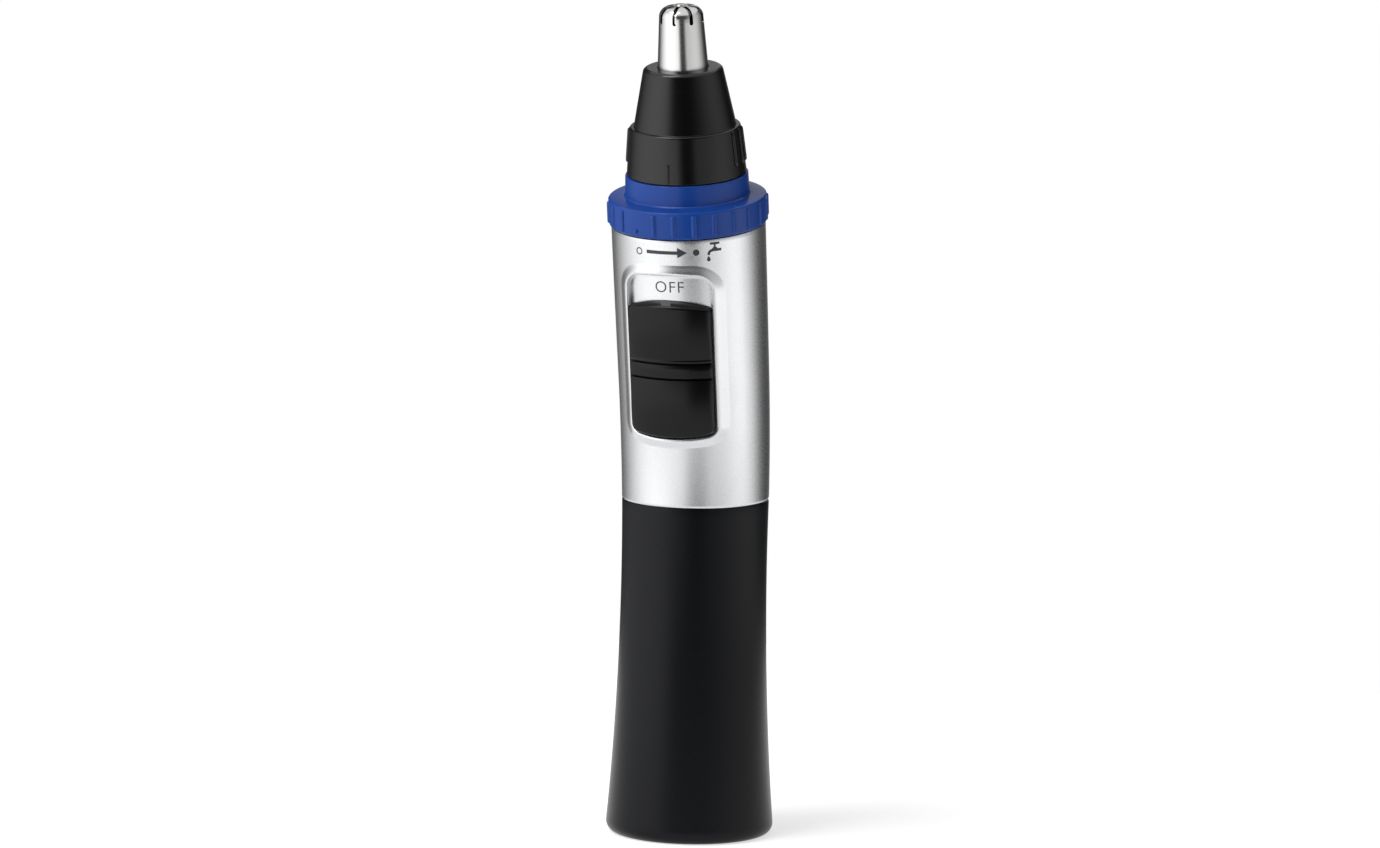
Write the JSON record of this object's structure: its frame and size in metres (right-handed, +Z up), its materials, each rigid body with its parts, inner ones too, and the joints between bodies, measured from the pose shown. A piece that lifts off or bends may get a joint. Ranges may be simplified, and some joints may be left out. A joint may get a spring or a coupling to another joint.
{
  "type": "nose hair trimmer",
  "caption": "Battery nose hair trimmer: flared cell cover, bent upper shell with slide switch, ribbed wash ring, stepped nozzle and a slotted domed steel tip over a rotating cutter.",
  "frame": {"origin": "centre of the flat base that it stands on, on the lower body's axis", "axes": "+Z up along the lower body's axis, -Y to the front (the switch side, towards which the head leans)"},
  "size_m": [0.0272, 0.0334, 0.1358],
  "materials": {
    "silver_shell": "satin",
    "black_cover": "soft satin",
    "black_switch": "satin",
    "blue_ring": "gloss",
    "black_nozzle": "semi-gloss",
    "blade_steel": "fine brushed",
    "inner_plastic": "matt",
    "white_plastic": "matt",
    "contact_metal": "satin",
    "spring_steel": "drawn wire",
    "motor_steel": "zinc plated",
    "shaft_steel": "ground",
    "magnet": "sintered",
    "armature_iron": "laminated",
    "seal_rubber": "matt",
    "cell_jacket": "semi-gloss",
    "board": "semi-gloss"
  },
  "bodies": {
    "housing": {"upper_shell": "silver_shell", "chassis": "inner_plastic", "battery_cell": "cell_jacket", "positive_contact": "contact_metal", "cover_contact": "contact_metal", "cover_seal": "seal_rubber", "motor_cradle": "inner_plastic", "motor_can": "motor_steel", "motor_end_cap": "white_plastic", "motor_terminals": "contact_metal", "motor_magnets": "magnet", "contact_board": "board", "fixed_contacts": "contact_metal", "neck_collar": "inner_plastic", "collar_seal": "seal_rubber", "shaft_seal": "seal_rubber"},
    "battery_cover": {"battery_cover": "black_cover", "cover_spring": "spring_steel", "negative_strip": "contact_metal"},
    "switch": {"switch_knob": "black_switch", "switch_slider": "white_plastic", "moving_contact": "contact_metal"},
    "wash_ring": {"wash_ring": "blue_ring"},
    "head": {"nozzle": "black_nozzle", "nozzle_seal": "seal_rubber", "outer_blade": "blade_steel", "blade_retainer": "inner_plastic"},
    "cutter": {"motor_shaft": "shaft_steel", "armature": "armature_iron", "drive_spindle": "white_plastic", "blade_spring": "spring_steel", "blade_holder": "white_plastic", "inner_blade": "blade_steel"}
  },
  "joints": [
    {"name": "cover_pull", "type": "slide", "parent": "housing", "child": "battery_cover", "axis": [0, 0, -1], "range_m": [0, 0.056]},
    {"name": "switch_slide", "type": "slide", "parent": "housing", "child": "switch", "axis": [0, -0.1702, 0.9854], "range_m": [0, 0.004]},
    {"name": "wash_turn", "type": "hinge", "parent": "housing", "child": "wash_ring", "pos_m": [0, -0.00212, 0.07537], "axis": [0, -0.1702, 0.9854], "range_deg": [0, 45]},
    {"name": "head_lift", "type": "slide", "parent": "housing", "child": "head", "axis": [0, -0.1702, 0.9854], "range_m": [0, 0.034]},
    {"name": "cutter_spin", "type": "hinge", "parent": "housing", "child": "cutter", "pos_m": [0, -0.00212, 0.07537], "axis": [0, -0.1702, 0.9854], "continuous": true}
  ]
}
